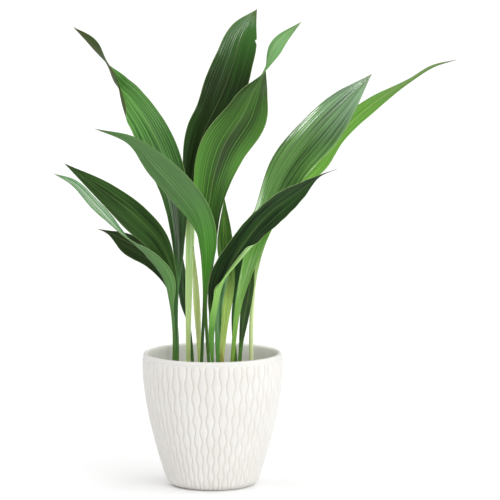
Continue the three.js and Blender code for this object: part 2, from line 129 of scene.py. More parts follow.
# The least and the most that a crumb is turned, in radians, and scaled
CRUMB_TURN = ((0.0, 0.0, 0.0), (6.283, 6.283, 6.283))
CRUMB_SCALE = ((0.5, 0.35, 0.3), (1.5, 1.0, 0.8))
CRUMB_DENTS_TO_A_METRE = 420.0
CRUMB_DENT_DEPTH = 1.6

# How far the pale floor under the pot reaches, in millimetres
FLOOR_REACH = 40000.0

# A leaf's cross-section, in millimetres and shares of its half width
STALK_DEPTH = 24.0
MIDRIB_THICKNESS = 1.5
MARGIN_THICKNESS = 0.5
MIDRIB_ROUNDING = 0.2
MIDRIB_GROOVE_DEPTH = 0.35
MIDRIB_GROOVE_WIDTH = 1.8
STALK_THICKNESS_RATIO = 1.7
STALK_CHANNEL_DEPTH = 0.3
STALK_CHANNEL_WIDTH = 0.45
STALK_EDGE_SHARE = 0.15
FLAT_ABOVE_RATIO = 2.5
THINNING_POWER = 0.7
LEAST_THICKNESS = 0.3
LOWER_GROOVE_SHARE = 0.6
GROOVE_FADE_POWER = 0.3
FRAME_STEP = 0.002
TIP_HALF_WIDTH = 0.35
MIDRIB_BLEND = 0.04
NICK_REACH = 0.5
PLEAT_DEPTH = 0.45
# How many pleats fit half a blade
PLEAT_COUNTS = (2.3, 4.1, 6.7, 9.2)
PLEAT_SWAY = (0.5, 1.5)
PLEAT_LEAN = (-0.6, 0.6)
PLEAT_FADE_POWER = 6
RIPPLE_POWER = 3
LEFT_RIPPLE_SHIFT = 1.3
MARGIN_CRINKLE = 0.4
CRINKLES = 17
CRINKLE_POWER = 8
HALF_CURVATURE = 0.5
CURL_TURN = 165.0
CURL_BEND = (0.97, 1.12)
CURL_RISE = 0.12

# How many cells a leaf is divided into
ACROSS_CELLS = 56
STALK_CELLS = 26
BLADE_CELLS = 120
SMALL_ACROSS_CELLS = 28
SMALL_BLADE_CELLS = 70

# The patterns on a leaf: how often each repeats across and along it, and what it adds to the leaf's seed.
# Medium and fine streaks repeat to a radian of the veins' waves, and VEIN_RADIAN is that in millimetres.
BROAD_STREAKS = (3.0, 2.0, 0.0)
MEDIUM_STREAKS = (0.22, 2.0, 4.0)
FINE_STREAKS = (0.5, 2.4, 7.0)
VEIN_WANDER = (3.0, 4.0, 9.0)
PATCHES = (1.3, 3.5, 12.0)
BROAD_SHARE = 0.5
MEDIUM_SHARE = 0.7
FINE_SHARE = 0.9
VEIN_SWAY = 0.9
VEIN_RADIAN = 0.62

# Where each marking begins and is full. Across the leaf, -1 is its left margin and 1 its right one.
# Along it, 0 is where the blade begins, 1 the tip and -1 the stalk's foot. Streaks, patches and lines go by
# the patterns' values instead, the midrib by millimetres, and the stalk's colour by shares of its neck.
STREAK_RANGE = (0.85, 1.4)
PATCH_RANGE = (0.35, 0.65)
LINE_RANGE = (0.2, 1.0)
LINE_PATCHES = (0.4, 0.65)
BLADE_START = (-0.02, 0.08)
MIDRIB_RANGE = (1.3, 0.4)
MIDRIB_TAPER = (1.0, 0.5)
MIDRIB_TIP_SHARE = 0.4
MARGIN_BAND = (0.955, 0.99)
LEFT_HALF = (-0.15, -0.95)
LOW_BLADE = (0.65, 0.35)
RIGHT_HALF = (0.35, 0.9)
HIGH_BLADE = (0.35, 0.5)
BELOW_TIP = (0.8, 0.65)
UP_BLADE = (0.1, 0.55)
TOWARDS_TIP = (0.6, 0.95)
DRY_TIP = (0.93, 1.0)
STALK_RANGE = (1.0, -0.55)
STALK_FOOT = (-0.35, -1.0)
EITHER_FACE = (0.4, 0.6)

# How strongly the markings show
LOWER_FACE_SHADE = 0.88
LOWER_FACE_STREAKS = 0.4
LOWER_FACE_LINES = 0.25
# How far the tip's tint, a painted sheen on leaf_right_glossy, follows the streaks and lines
TIP_TINT_AND_SHEEN_LEAST = 0.3
TIP_TINT_AND_SHEEN_STREAKS = 0.7
TIP_TINT_AND_SHEEN_LINES = 0.3
# The margin's pale band is a painted highlight along the edge
MARGIN_PAINTED_HIGHLIGHT = 0.4
STALK_STREAKS = 0.4
STREAK_DULLNESS = 0.06
VEIN_BUMP = 0.05
LIGHT_THROUGH = 0.22

# Colours apart from the leaves' own, from 0 to 255
# Pale green of the midrib, and of the painted highlight along the margin
VEIN_AND_HIGHLIGHT_PALE = (176, 202, 128)
DRY_BROWN = (112, 100, 66)
GLAZES = ((222, 220, 216), (216, 213, 208))
# Warmer and darker down in the grooves: partly the clay's own tint, partly painted shade
GROOVE_TINT_AND_SHADE = (198, 182, 166)
# The inside is whiter than the outside glaze: painted light against the shade inside the pot
INSIDE_GLAZE_PAINTED_LIGHT = (252, 251, 246)
PEAT_BROWNS = ((38, 27, 20), (66, 48, 36))
BARK_BROWNS = ((70, 48, 32), (112, 82, 56))
FLOOR_WHITES = ((250, 250, 250), (246, 246, 246))

# The glaze, the soil and the floor: mottles and grains to a metre, their strength, and bumps in millimetres
SPECKLE_DETAIL = 3.0
GRAIN_ROUGHNESS = 0.6
GLAZE_MOTTLES = 26.0
SOIL_MOTTLES = 120.0
FLOOR_MOTTLES = 0.8
FINE_GRAINS = 900.0
FLOOR_GRAINS = 60.0
GLAZE_MOTTLING = (0.3, 0.7)
GLAZE_MOTTLE_SHARE = 0.6
GROOVE_DEPTHS = (0.35, 1.0)
GROOVE_TINT_AND_SHADE_SHARE = 0.7
GLAZE_ROUGHNESS = (0.5, 0.12)
GLAZE_BUMP = 0.06
SOIL_MOTTLING = (0.35, 0.7)
SOIL_BUMP = 0.5
FLOOR_MOTTLE_SHARE = 0.5


def srgb(red, green, blue):
    """A colour as seen on a screen, from 0 to 255, in the linear values that Blender reckons with."""
    shares = [channel / 255 for channel in (red, green, blue)]
    linear = [s / 12.92 if s <= 0.04045 else ((s + 0.055) / 1.055) ** 2.4 for s in shares]
    return (*linear, 1.0)


def smooth_step(low, high, values):
    """0 below low and 1 above high, with a smooth rise between them. low may be above high."""
    share = np.clip((values - low) / (high - low), 0.0, 1.0)
    return share * share * (3 - 2 * share)


# A leaf's route is a row of places up its midrib: x, y and z in millimetres, the roll in degrees, the
# half width to its left and right margins in millimetres, and the fold of each half towards the upper face.
# blade_from is the share of the route where the blade begins, and stalk the stalk's half width at its foot
# and its neck. ripple is the height of the margins' waves, and pleating scales the pleats.
# nick is a bite out of a margin: its place up the blade, its side, its depth and its length.
# A curl turns a margin over: its side, where up the blade it starts and ends, and the width that it adds.
# upper, bright and under are the blade's colours, stalk_colour and foot the stalk's at its neck and foot.
# low_upper and low_under are the blade's colours near its stalk, where they differ: darker ones are painted
# shade among the crowded stalks, brighter ones painted light. The tip's tint share is how far the blade turns
# to the tip's tint colour towards its tip, which on leaf_right_glossy is a painted bluish-white sheen, and
# neck how far up it the stalk's colour reaches.
# streaks, patches, lines and the places of painted light turn upper into bright, low_share of them near the
# stalk; the painted light on the low left, the high right and towards the tip stands for light and sheen
# falling on the blade, and a negative share darkens there instead.
# gloss and under_gloss are the roughness of the two faces, shine is how much they mirror, midrib and
# under_midrib are how pale the midrib is, and dry is how brown the tip.
USUAL_LEAF = dict(
    slot="leaf_green", stalk=(2.3, 2.1), ripple=1.2, waves=3, small=False, dry=0.3,
    upper=(38, 62, 26), bright=(92, 146, 66), under=(96, 140, 80), stalk_colour=(82, 132, 66),
    foot=(96, 140, 66), neck=0.14, streaks=0.5, patches=0.25, lines=0.3, gloss=0.45, shine=0.12,
    midrib=0.12, painted_light_left=0, painted_light_right=0, painted_light_tip=0, low_upper=None, low_under=None, low_share=1,
    tip_tint_and_sheen=0, tip_tint_and_sheen_colour=(132, 142, 112), under_midrib=0, pleating=1, under_gloss=0.5,
    nick=None, curls=(),
)
LEAVES = {
    "leaf_upper_left": dict(
        route=[(-50, 12, 148, -20, 0, 0, 14), (-49, 13, 253, -20, 0, 0, 20), (-46, 17, 322, -18, 8, 10, 32),
               (-51, 24, 393, -10, 18, 21, 22), (-77, 34, 471, 5, 27, 24, 15),
               (-114, 43, 529, 25, 19, 19, 30), (-133, 49, 549, 57, 13, 17, 56),
               (-144, 52, 574, 92, 11, 10, 8), (-167, 60, 604, 143, 8, 6, 12),
               (-191, 70, 624, 160, 0, 0, 10)],
        blade_from=0.27, upper=(50, 98, 34), bright=(122, 188, 90), under=(66, 84, 34),
        low_upper=(20, 40, 18), low_under=(88, 128, 70), low_share=0.3, gloss=0.28, shine=0.4, lines=0.7,
        curls=((-1, 0.56, 0.86, 0.3),),
    ),
    "leaf_back_tall": dict(
        route=[(-34, 26, 148, 5, 0, 0, 14), (-33, 27, 251, 5, 0, 0, 14), (-31, 31, 334, 5, 0, 0, 20),
               (-30, 40, 409, 5, 11, 10, 20), (-12, 58, 481, 5, 26, 26, 16), (0, 66, 506, 6, 26, 29, 14),
               (12, 74, 530, 8, 31, 31, 14), (29, 90, 575, 10, 29, 27.5, 14), (43, 104, 615, 18, 22, 21, 12),
               (61, 118, 646, 30, 0, 0, 10)],
        blade_from=0.4, stalk=(3, 6), upper=(31, 42, 15), bright=(74, 140, 50), under=(84, 126, 66),
        # Painted light and sheen on the left half and towards the tip
        streaks=0.12, patches=0.05, lines=0.12, painted_light_left=0.1, painted_light_tip=0.5, gloss=0.27,
        shine=0.35, ripple=2.4, waves=2, pleating=0.45,
        # The stalk's pale colours are partly its own and partly painted light against the shade it stands in
        stalk_colour=(214, 244, 168), foot=(228, 242, 170), nick=(0.865, 1, 0.13, 0.008),
    ),
    "leaf_front_arching": dict(
        route=[(-3, -20, 148, 180, 0, 0, 14), (-9, -22, 242, 180, 0, 0, 14), (-9, -28, 284, 180, 4, 4, 20),
               (-11, -42, 336, 175, 18, 5, 16), (-20, -66, 381, 172, 19.5, 16.5, 14),
               (-42, -92, 415, 175, 20.5, 18.5, 14), (-72, -120, 451, 185, 17, 15.5, 14),
               (-106, -146, 488, 200, 6.5, 6.5, 14), (-152, -168, 505, 215, 0, 0, 10)],
        blade_from=0.24, upper=(44, 76, 34), bright=(92, 140, 66), under=(86, 123, 72),
        low_under=(80, 148, 46), stalk_colour=(72, 108, 40),
    ),
    "leaf_centre_tall": dict(
        route=[(-16, 2, 148, 0, 0, 0, 14), (-12, 4, 234, 0, 0, 0, 20), (-7, 8, 309, 0, 9, 10, 22),
               (-4, 12, 391, 0, 23, 20, 16), (14, 16, 462, 0, 32, 33, 14), (43, 18, 511, 10, 26, 34, 14),
               (57, 17, 541, 38, 24, 22, 14), (72, 14, 571, 92, 13, 13, 6), (86, 8, 604, 150, 12.5, 9, 14),
               (121, -4, 636, 165, 0, 0, 10)],
        blade_from=0.17, upper=(48, 72, 28), bright=(98, 158, 62), under=(128, 180, 112),
        low_upper=(18, 36, 11), stalk_colour=(58, 104, 46), midrib=0.15, under_midrib=0.6,
        under_gloss=0.3, shine=0.2, streaks=0.1, lines=0.75, pleating=0.5,
        # Painted light on the low left and high right, where light falls on the folded halves; darker towards
        # the tip
        painted_light_left=0.8, painted_light_right=0.5, painted_light_tip=-0.3, low_share=0.7,
    ),
    "leaf_small_rear": dict(
        route=[(10, 14, 148, -10, 0, 0, 14), (16, 16, 215, -10, 2, 2, 14), (21.5, 24, 280, -10, 8, 9, 16),
               (18, 36, 327, -12, 11.5, 11.5, 14), (16, 54, 391, -15, 0, 0, 10)],
        blade_from=0.45, stalk=(3, 5), upper=(74, 114, 48), bright=(126, 168, 82), under=(96, 140, 70),
        # The stalk's pale colours are partly its own and partly painted light against the shade it stands in
        neck=0.3, stalk_colour=(196, 226, 124), foot=(226, 232, 150),
    ),
    "leaf_right_glossy": dict(
        route=[(25, -8, 148, 0, 0, 0, 14), (37, -6, 256, 0, 5, 5, 20), (56, -4, 321, 0, 13, 10, 20),
               (76, 0, 382, 5, 18.5, 20, 18), (104, 6, 438.5, 8, 27.5, 28, 16),
               (140.5, 14, 486, 8, 25.5, 33, 16), (177.5, 20, 524.5, 12, 18.5, 22.5, 14),
               (217.5, 24, 563, 20, 0, 0, 10)],
        blade_from=0.2, upper=(40, 70, 24), bright=(118, 180, 80), under=(96, 146, 76), gloss=0.25,
        # Towards the tip a painted bluish-white sheen, and painted light on the low left
        shine=0.45, tip_tint_and_sheen=0.5, tip_tint_and_sheen_colour=(194, 222, 200), ripple=3.0, waves=4, pleating=0.8, neck=0.42,
        stalk_colour=(124, 178, 60), foot=(150, 182, 80), low_upper=(76, 140, 44), painted_light_left=0.2,
    ),
    "leaf_right_backlit": dict(
        slot="leaf_lime",
        route=[(53, 18, 148, 160, 0, 0, 14), (54, 22, 238, 160, 0, 0, 14), (59, 34, 289, 160, 2, 5, 14),
               (74, 50, 355, 165, 11, 13, 14), (117, 70, 420, 170, 21, 20, 14),
               (144, 80, 446, 170, 22, 20, 14), (171, 88, 471, 170, 12, 18, 14),
               (223, 100, 517, 165, 10, 10.5, 14), (274, 104, 549, 140, 3.2, 3.2, 10),
               (305, 104, 568, 130, 2.6, 2.6, 10), (338, 102, 577, 120, 0, 0, 10)],
        blade_from=0.22, stalk=(3.3, 2.6), dry=0.8, upper=(90, 146, 56), bright=(124, 180, 80),
        under=(112, 168, 66), stalk_colour=(214, 232, 168), foot=(232, 238, 194), streaks=0.25,
        tip_tint_and_sheen=1.0, under_midrib=0.3,
    ),
    "leaf_front_right": dict(
        route=[(1, -42, 148, -90, 0, 0, 30), (4, -44, 234, -90, 12, 11, 55), (16, -52, 290, -50, 20, 14, 50),
               (43, -68, 341, 0, 20, 12, 28), (78, -90, 386, 32, 24, 21, 16),
               (116, -114, 417, 40, 23, 12.5, 14), (144, -134, 440, 45, 2, 2, 10),
               (166, -150, 450, 50, 0, 0, 10)],
        blade_from=0.2, dry=0.9, upper=(15, 32, 9), bright=(60, 102, 44), low_share=0.5,
        under=(176, 210, 146), low_under=(138, 192, 92), curls=((1, 0.1, 0.5, 0.4),),
        stalk_colour=(92, 148, 56), foot=(88, 130, 48), streaks=0.35, lines=0.45,
    ),
    "leaf_left_dark": dict(
        route=[(-52, -6, 148, -10, 0, 0, 14), (-50, -6, 235, -10, 0, 0, 20), (-53, -9, 291, -10, 8, 4.5, 22),
               (-72, -17, 338, -5, 18, 14.5, 16), (-103, -32, 374, 0, 22.5, 17.5, 14),
               (-141, -52, 407, 5, 15.5, 14.5, 14), (-197, -84, 451, 10, 0, 0, 10)],
        blade_from=0.3, upper=(33, 59, 19), bright=(82, 126, 56), under=(84, 124, 70),
        stalk_colour=(62, 104, 54), streaks=0.3, lines=0.45,
    ),
    "leaf_left_twisted": dict(
        route=[(-53, -26, 148, 140, 0, 0, 14), (-53, -27, 224, 140, 0, 0, 14),
               (-56, -29.5, 252, 140, 4, 2, 14), (-62, -33, 283, 140, 13, 4.5, 16),
               (-85, -45, 321, 128, 14, 9, 14), (-126, -66, 358, 72, 4, 11, 10),
               (-158, -84, 394, 30, 5, 9, 10), (-185, -102, 425, 30, 2.5, 7, 10),
               (-209, -120, 441, 40, 0, 0, 10)],
        # Its near-white bright colour, shown in streaks on the upper face, is a painted highlight
        blade_from=0.2, upper=(62, 128, 58), bright=(216, 236, 210), under=(98, 136, 84),
        low_under=(92, 140, 70), gloss=0.25, shine=0.3, streaks=0.55, patches=0, lines=0.5,
        stalk_colour=(76, 118, 44),
    ),
    "leaf_left_low": dict(
        route=[(-49, 32, 148, 0, 0, 0, 14), (-50, 32, 216, 0, 0, 0, 14), (-58, 35, 265, 0, 4, 5, 20),
               (-82, 46, 307, 0, 15.5, 12, 16), (-117, 64, 327, 0, 16.5, 12, 14),
               (-148, 84, 339, 0, 1.5, 2.5, 10), (-160, 92, 342, 0, 0, 0, 10)],
        blade_from=0.3, dry=1.0, upper=(34, 52, 22), bright=(60, 84, 42), under=(80, 118, 66),
    ),
    "leaf_small_left": dict(
        route=[(-27, 44, 148, 20, 0, 0, 14), (-33, 44, 214, 20, 0, 0, 14), (-40, 47, 250, 20, 7, 7, 14),
               (-42, 54, 275, 20, 7, 7, 14), (-41, 66, 303, 20, 0, 0, 10)],
        blade_from=0.5, small=True, upper=(40, 66, 40), bright=(90, 124, 86), under=(84, 124, 70),
        stalk_colour=(58, 96, 56),
    ),
    "leaf_small_front": dict(
        route=[(8, -14, 148, 20, 0, 0, 14), (7, -14, 209, 20, 3.5, 3.5, 14), (8, -12, 250, 20, 6.5, 6.5, 14),
               (16, -9, 291, 20, 6, 6, 14), (32, -4, 325, 20, 0, 0, 10)],
        blade_from=0.3, small=True, upper=(64, 112, 60), bright=(126, 172, 116), under=(80, 120, 72),
        stalk_colour=(92, 150, 66), streaks=0.7,
    ),
    "leaf_rear_right": dict(
        route=[(33, 38, 148, 175, 0, 0, 14), (29, 40, 243, 175, 0, 0, 14), (35, 48, 277, 175, 7, 7, 14),
               (51, 70, 322, 180, 16.5, 16.5, 14), (79, 104, 374, 180, 13.5, 13.5, 14),
               (107, 134, 420, 180, 0, 0, 10)],
        blade_from=0.36, upper=(34, 56, 24), bright=(60, 92, 44), under=(52, 84, 44),
        stalk_colour=(62, 104, 62),
    ),
    "leaf_small_right": dict(
        route=[(36, 6, 148, 0, 0, 0, 14), (39, 6, 192, 0, 2, 2, 14), (43.5, 7, 229, 0, 6, 6, 14),
               (50, 10, 271, 0, 7, 7, 14), (58, 18, 313, 0, 0, 0, 10)],
        blade_from=0.25, small=True, upper=(38, 60, 30), bright=(84, 118, 60), under=(84, 126, 66),
        stalk_colour=(90, 140, 60), foot=(204, 160, 62),
    ),
}
SHEATHS = {
    "sheath_tall": dict(
        route=[(-17, 17, 148, 0, 0, 0, 0), (-19, 18, 200, 0, 3, 3, -25), (-22, 20, 250, 0, 4.8, 4.8, -25),
               (-24, 21, 290, 0, 3, 3, -25), (-26, 22, 326, 0, 0, 0, -25)],
        # The sheath's pale colours are partly its own and partly painted light against the shade it stands in
        blade_from=0.25, stalk=(1.8, 2.2), upper=(214, 234, 140), bright=(242, 250, 196),
        under=(222, 226, 166), stalk_colour=(222, 240, 156), foot=(222, 234, 150),
    ),
    "sheath_short": dict(
        route=[(12, 3, 148, 0, 0, 0, 0), (12, 3, 165, 0, 4, 4, -25), (12.5, 4, 188, 0, 0, 0, -25)],
        blade_from=0.2, stalk=(2, 2), upper=(176, 180, 78), bright=(212, 210, 126), under=(204, 198, 120),
        stalk_colour=(198, 196, 96), foot=(224, 204, 106),
    ),
}
USUAL_SHEATH = dict(slot="leaf_sheath", ripple=0, small=True, dry=1.0, streaks=0.7, gloss=0.6)
FIRST_SHEATH_SEED = 31


def make_camera():
    """The camera, at the photograph's place and angle."""
    data = bpy.data.cameras.new("photo_camera")
    data.lens = CAMERA_LENS
    data.sensor_width = CAMERA_SENSOR
    bpy.context.scene.camera = add_aimed("photo_camera", data, Vector(CAMERA_PLACE) - Vector(CAMERA_AIM))
    bpy.context.scene.camera.location = CAMERA_PLACE


def add_aimed(name, data, back):
    """A camera or a light whose back faces a direction."""
    thing = bpy.data.objects.new(name, data)
    thing.rotation_mode = "QUATERNION"
    thing.rotation_quaternion = back.to_track_quat("Z", "Y")
    bpy.context.scene.collection.objects.link(thing)
    return thing


def add_sun(name, power, width, place, colour):
    data = bpy.data.lights.new(name, "SUN")
    data.energy = power
    data.angle = math.radians(width)
    data.color = colour
    sun = add_aimed(name, data, Vector(place))
    sun.visible_glossy = False


def add_window(name, place, aim, width, height, power):
    data = bpy.data.lights.new(name, "AREA")
    data.energy = power
    data.shape = "RECTANGLE"
    data.size = width
    data.size_y = height
    window = add_aimed(name, data, Vector(place) - Vector(aim))
    window.location = place
    window.visible_camera = False
    window.visible_diffuse = False
    window.visible_transmission = False


def light_the_studio():
    """Even white light all round, soft suns at the right, in front and above, and windows.

    Glossy leaves mirror only the windows and a little of the air."""
    world = bpy.data.worlds.new("studio_air")
    world.use_nodes = True
    tree = world.node_tree
    shine = Value(tree, tree.nodes.new("ShaderNodeLightPath").outputs["Is Glossy Ray"])
    strength = shine * (AIR_SHINE - AIR_LIGHT) + AIR_LIGHT
    feed_all(tree, tree.nodes["Background"], {"Color": (255, 255, 255), "Strength": strength})
    bpy.context.scene.world = world
    for sun in SUNS:
        add_sun(*sun)
    for window in WINDOWS:
        add_window(*window)
    settings = bpy.context.scene.view_settings
    settings.view_transform = "Standard"
    settings.look = "None"


class Value:
    """A number worked out by nodes. Arithmetic on it, and its functions, add Math nodes to its tree."""

    def __init__(self, tree, socket):
        self.tree = tree
        self.socket = socket

    def math(self, operation, *others):
        inputs = dict(enumerate((self, *others)))
        node = add_node(self.tree, "ShaderNodeMath", inputs, operation=operation)
        return Value(self.tree, node.outputs[0])

    __add__ = partialmethod(math, "ADD")
    __sub__ = partialmethod(math, "SUBTRACT")
    __mul__ = partialmethod(math, "MULTIPLY")
    __truediv__ = partialmethod(math, "DIVIDE")
    __pow__ = partialmethod(math, "POWER")
    size = partialmethod(math, "ABSOLUTE")

    def rise(self, low, high):
        """0 at low and 1 at high, with a smooth rise between them. low may be above high."""
        upwards = low < high
        inputs = {
            "Value": self, "From Min": min(low, high), "From Max": max(low, high),
            "To Min": 0.0 if upwards else 1.0, "To Max": 1.0 if upwards else 0.0,
        }
        node = add_node(self.tree, "ShaderNodeMapRange", inputs, interpolation_type="SMOOTHSTEP")
        return Value(self.tree, node.outputs["Result"])


def feed(tree, socket, value):
    """Gives a socket another node's output or a plain value. Plain colours are given from 0 to 255."""
    if isinstance(value, Value):
        value = value.socket
    if isinstance(value, bpy.types.NodeSocket):
        tree.links.new(value, socket)
    else:
        socket.default_value = srgb(*value) if socket.type == "RGBA" else value


def feed_all(tree, node, inputs):
    for place, value in inputs.items():
        feed(tree, node.inputs[place], value)


def add_node(tree, kind, inputs, **settings):
    """A new node with its settings and inputs."""
    node = tree.nodes.new(kind)
    for label, setting in settings.items():
        setattr(node, label, setting)
    feed_all(tree, node, inputs)
    return node


def attribute(tree, name):
    """A number that the piece's own points carry."""
    return Value(tree, add_node(tree, "ShaderNodeAttribute", {}, attribute_name=name).outputs["Fac"])


def vector(tree, x, y, z):
    return add_node(tree, "ShaderNodeCombineXYZ", {"X": x, "Y": y, "Z": z}).outputs["Vector"]


def noise(tree, place, scale, detail, roughness=0.5):
    """Soft random values from 0 to 1."""
    inputs = {"Vector": place, "Scale": scale, "Detail": detail, "Roughness": roughness}
    return Value(tree, add_node(tree, "ShaderNodeTexNoise", inputs).outputs["Fac"])


def mixed(tree, share, first, second):
    """The first colour where share is 0 and the second where it is 1."""
    # A Mix node takes colours at its inputs 6 and 7 and gives one at its output 2
    inputs = {"Factor": share, 6: first, 7: second}
    return add_node(tree, "ShaderNodeMix", inputs, data_type="RGBA").outputs[2]


def shaded(tree, colour, factor):
    """A colour, or any three numbers, times a factor."""
    inputs = {0: colour, "Scale": factor}
    return add_node(tree, "ShaderNodeVectorMath", inputs, operation="SCALE").outputs["Vector"]


def new_shader_group(name, *inputs):
    """An empty shader group with number inputs."""
    tree = bpy.data.node_groups.new(name, "ShaderNodeTree")
    for label in inputs:
        tree.interface.new_socket(label, in_out="INPUT", socket_type="NodeSocketFloat")
    entry = tree.nodes.new("NodeGroupInput")
    return tree, {label: Value(tree, entry.outputs[label]) for label in inputs}


def finish_group(tree, outputs):
    """Ends a shader group in named numbers."""
    for label in outputs:
        tree.interface.new_socket(label, in_out="OUTPUT", socket_type="NodeSocketFloat")
    feed_all(tree, tree.nodes.new("NodeGroupOutput"), outputs)
    return tree


def use_group(tree, group, **values):
    """Places a shader group with its own values, and returns its outputs by name."""
    node = add_node(tree, "ShaderNodeGroup", values, node_tree=group)
    return {socket.name: Value(tree, socket) for socket in node.outputs}


def make_leaf_markings():
    """Long streaks, parallel veins, the midrib, the margin's painted highlight, the places for painted light
    and sheen, the stalk, its foot and the dry tip.
    """
    tree, given = new_shader_group("leaf_markings", "Seed", "Veins", "Neck")
    across = attribute(tree, "across")
    blade = attribute(tree, "blade")

    def pattern(repeats, place=across, detail=1.0):
        """Soft random values, drawn out along the leaf."""
        sideways, lengthwise, shift = repeats
        spot = vector(tree, place * sideways, blade * lengthwise, given["Seed"] + shift)
        return noise(tree, spot, 1.0, detail)

    over = across * given["Veins"]
    medium = pattern(MEDIUM_STREAKS, over)
    broad = pattern(BROAD_STREAKS) * BROAD_SHARE
    fine = pattern(FINE_STREAKS, over) * FINE_SHARE
    veins = (over + pattern(VEIN_WANDER) * VEIN_SWAY).math("SINE")
    thinner = blade.rise(*MIDRIB_TAPER) * (1 - MIDRIB_TIP_SHARE) + MIDRIB_TIP_SHARE
    on_blade = blade.rise(*BLADE_START)
    return finish_group(tree, {
        "Streaks": (broad + medium * MEDIUM_SHARE + fine).rise(*STREAK_RANGE),
        "Patches": pattern(PATCHES, detail=0.0).rise(*PATCH_RANGE),
        "Fine Lines": veins.rise(*LINE_RANGE) * medium.rise(*LINE_PATCHES) * on_blade,
        "Veins Height": veins * on_blade,
        "Midrib": (attribute(tree, "off_midrib") / thinner).rise(*MIDRIB_RANGE) * on_blade,
        # Margin places a painted highlight; Low Left, High Right and Towards Tip place painted light and
        # sheen, and Towards Tip a tint too
        "Margin": across.size().rise(*MARGIN_BAND) * on_blade,
        "Low Left": across.rise(*LEFT_HALF) * blade.rise(*LOW_BLADE),
        "High Right": across.rise(*RIGHT_HALF) * blade.rise(*HIGH_BLADE) * blade.rise(*BELOW_TIP),
        "Up Blade": blade.rise(*UP_BLADE),
        "Towards Tip": blade.rise(*TOWARDS_TIP),
        "Stalk": (blade / given["Neck"]).rise(*STALK_RANGE),
        "Foot": blade.rise(*STALK_FOOT),
        "Tip": blade.rise(*DRY_TIP),
        "Upper Face": attribute(tree, "upper").rise(*EITHER_FACE),
    })


def make_speckle():
    """Mottling and a grain for bumps, on Object coordinates."""
    tree, given = new_shader_group("speckle", "Coarse", "Fine")
    place = tree.nodes.new("ShaderNodeTexCoord").outputs["Object"]
    mottle = noise(tree, place, given["Coarse"], SPECKLE_DETAIL)
    grain = noise(tree, place, given["Fine"], SPECKLE_DETAIL, GRAIN_ROUGHNESS)
    return finish_group(tree, {"Mottle": mottle, "Grain": grain})


def new_material(name):
    material = bpy.data.materials.new(name)
    material.use_nodes = True
    tree = material.node_tree
    return material, tree, tree.nodes["Principled BSDF"]


def add_bump(tree, surface, height, depth):
    """Small bumps on a surface, in millimetres. Returns the bumped normal."""
    normal = add_node(tree, "ShaderNodeBump", {"Height": height, "Distance": depth * MM}).outputs["Normal"]
    feed(tree, surface.inputs["Normal"], normal)
    return normal


def leaf_material(leaf, seed, markings):
    """A tough glossy blade that lets some light through, with a stalk and foot of their own colours."""
    material, tree, surface = new_material(leaf["node"] + "_skin")
    widest = max(max(place[4:6]) for place in leaf["route"])
    marks = use_group(tree, markings, Seed=seed, Veins=widest / VEIN_RADIAN, Neck=leaf["neck"])
    streaks, lines, up_blade = marks["Streaks"], marks["Fine Lines"], marks["Up Blade"]
    upper_face, towards_tip = marks["Upper Face"], marks["Towards Tip"]
    # Painted light and sheen on the blade's low left, high right and tip; a negative share darkens there
    painted_light = marks["Low Left"] * leaf["painted_light_left"] + marks["High Right"] * leaf["painted_light_right"]
    painted_light = painted_light + towards_tip * leaf["painted_light_tip"]
    share = streaks * leaf["streaks"] + marks["Patches"] * leaf["patches"] + lines * leaf["lines"] + painted_light
    share = share * (up_blade * (1 - leaf["low_share"]) + leaf["low_share"])
    # Near the stalk the blade takes its own colours: darker ones paint shade among the crowded stalks,
    # brighter ones paint light
    dark = mixed(tree, up_blade, leaf["low_upper"] or leaf["upper"], leaf["upper"])
    upper = mixed(tree, share.math("MINIMUM", 1.0), dark, leaf["bright"])
    under = mixed(tree, up_blade, leaf["low_under"] or leaf["under"], leaf["under"])
    under_shade = streaks * LOWER_FACE_STREAKS + lines * LOWER_FACE_LINES + LOWER_FACE_SHADE
    face = mixed(tree, upper_face, shaded(tree, under, under_shade), upper)
    # Towards the tip the blade turns to a second colour: a tint, and on leaf_right_glossy a painted sheen
    tip_tint_and_sheen_share = towards_tip * (streaks * TIP_TINT_AND_SHEEN_STREAKS + lines * TIP_TINT_AND_SHEEN_LINES + TIP_TINT_AND_SHEEN_LEAST)
    face = mixed(tree, tip_tint_and_sheen_share * leaf["tip_tint_and_sheen"], face, leaf["tip_tint_and_sheen_colour"])
    clear = upper_face * (leaf["midrib"] - leaf["under_midrib"]) + leaf["under_midrib"]
    face = mixed(tree, marks["Midrib"] * clear, face, VEIN_AND_HIGHLIGHT_PALE)
    # A pale band along the margin: a painted highlight
    face = mixed(tree, marks["Margin"] * MARGIN_PAINTED_HIGHLIGHT, face, VEIN_AND_HIGHLIGHT_PALE)
    stem = mixed(tree, marks["Foot"], leaf["stalk_colour"], leaf["foot"])
    stem = shaded(tree, stem, streaks * (leaf["streaks"] * STALK_STREAKS) + 1.0)
    colour = mixed(tree, marks["Stalk"], face, stem)
    colour = mixed(tree, marks["Tip"] * leaf["dry"], colour, DRY_BROWN)
    dull = upper_face * (leaf["gloss"] - leaf["under_gloss"]) + leaf["under_gloss"]
    feed_all(tree, surface, {
        "Base Color": colour,
        "Specular IOR Level": leaf["shine"],
        "Roughness": dull + streaks * STREAK_DULLNESS,
    })
    bumped = add_bump(tree, surface, marks["Veins Height"], VEIN_BUMP)
    through = add_node(tree, "ShaderNodeBsdfTranslucent", {"Color": colour, "Normal": bumped})
    halves = {"Fac": LIGHT_THROUGH, 1: surface.outputs[0], 2: through.outputs[0]}
    both = add_node(tree, "ShaderNodeMixShader", halves)
    feed(tree, tree.nodes["Material Output"].inputs["Surface"], both.outputs[0])
    return material


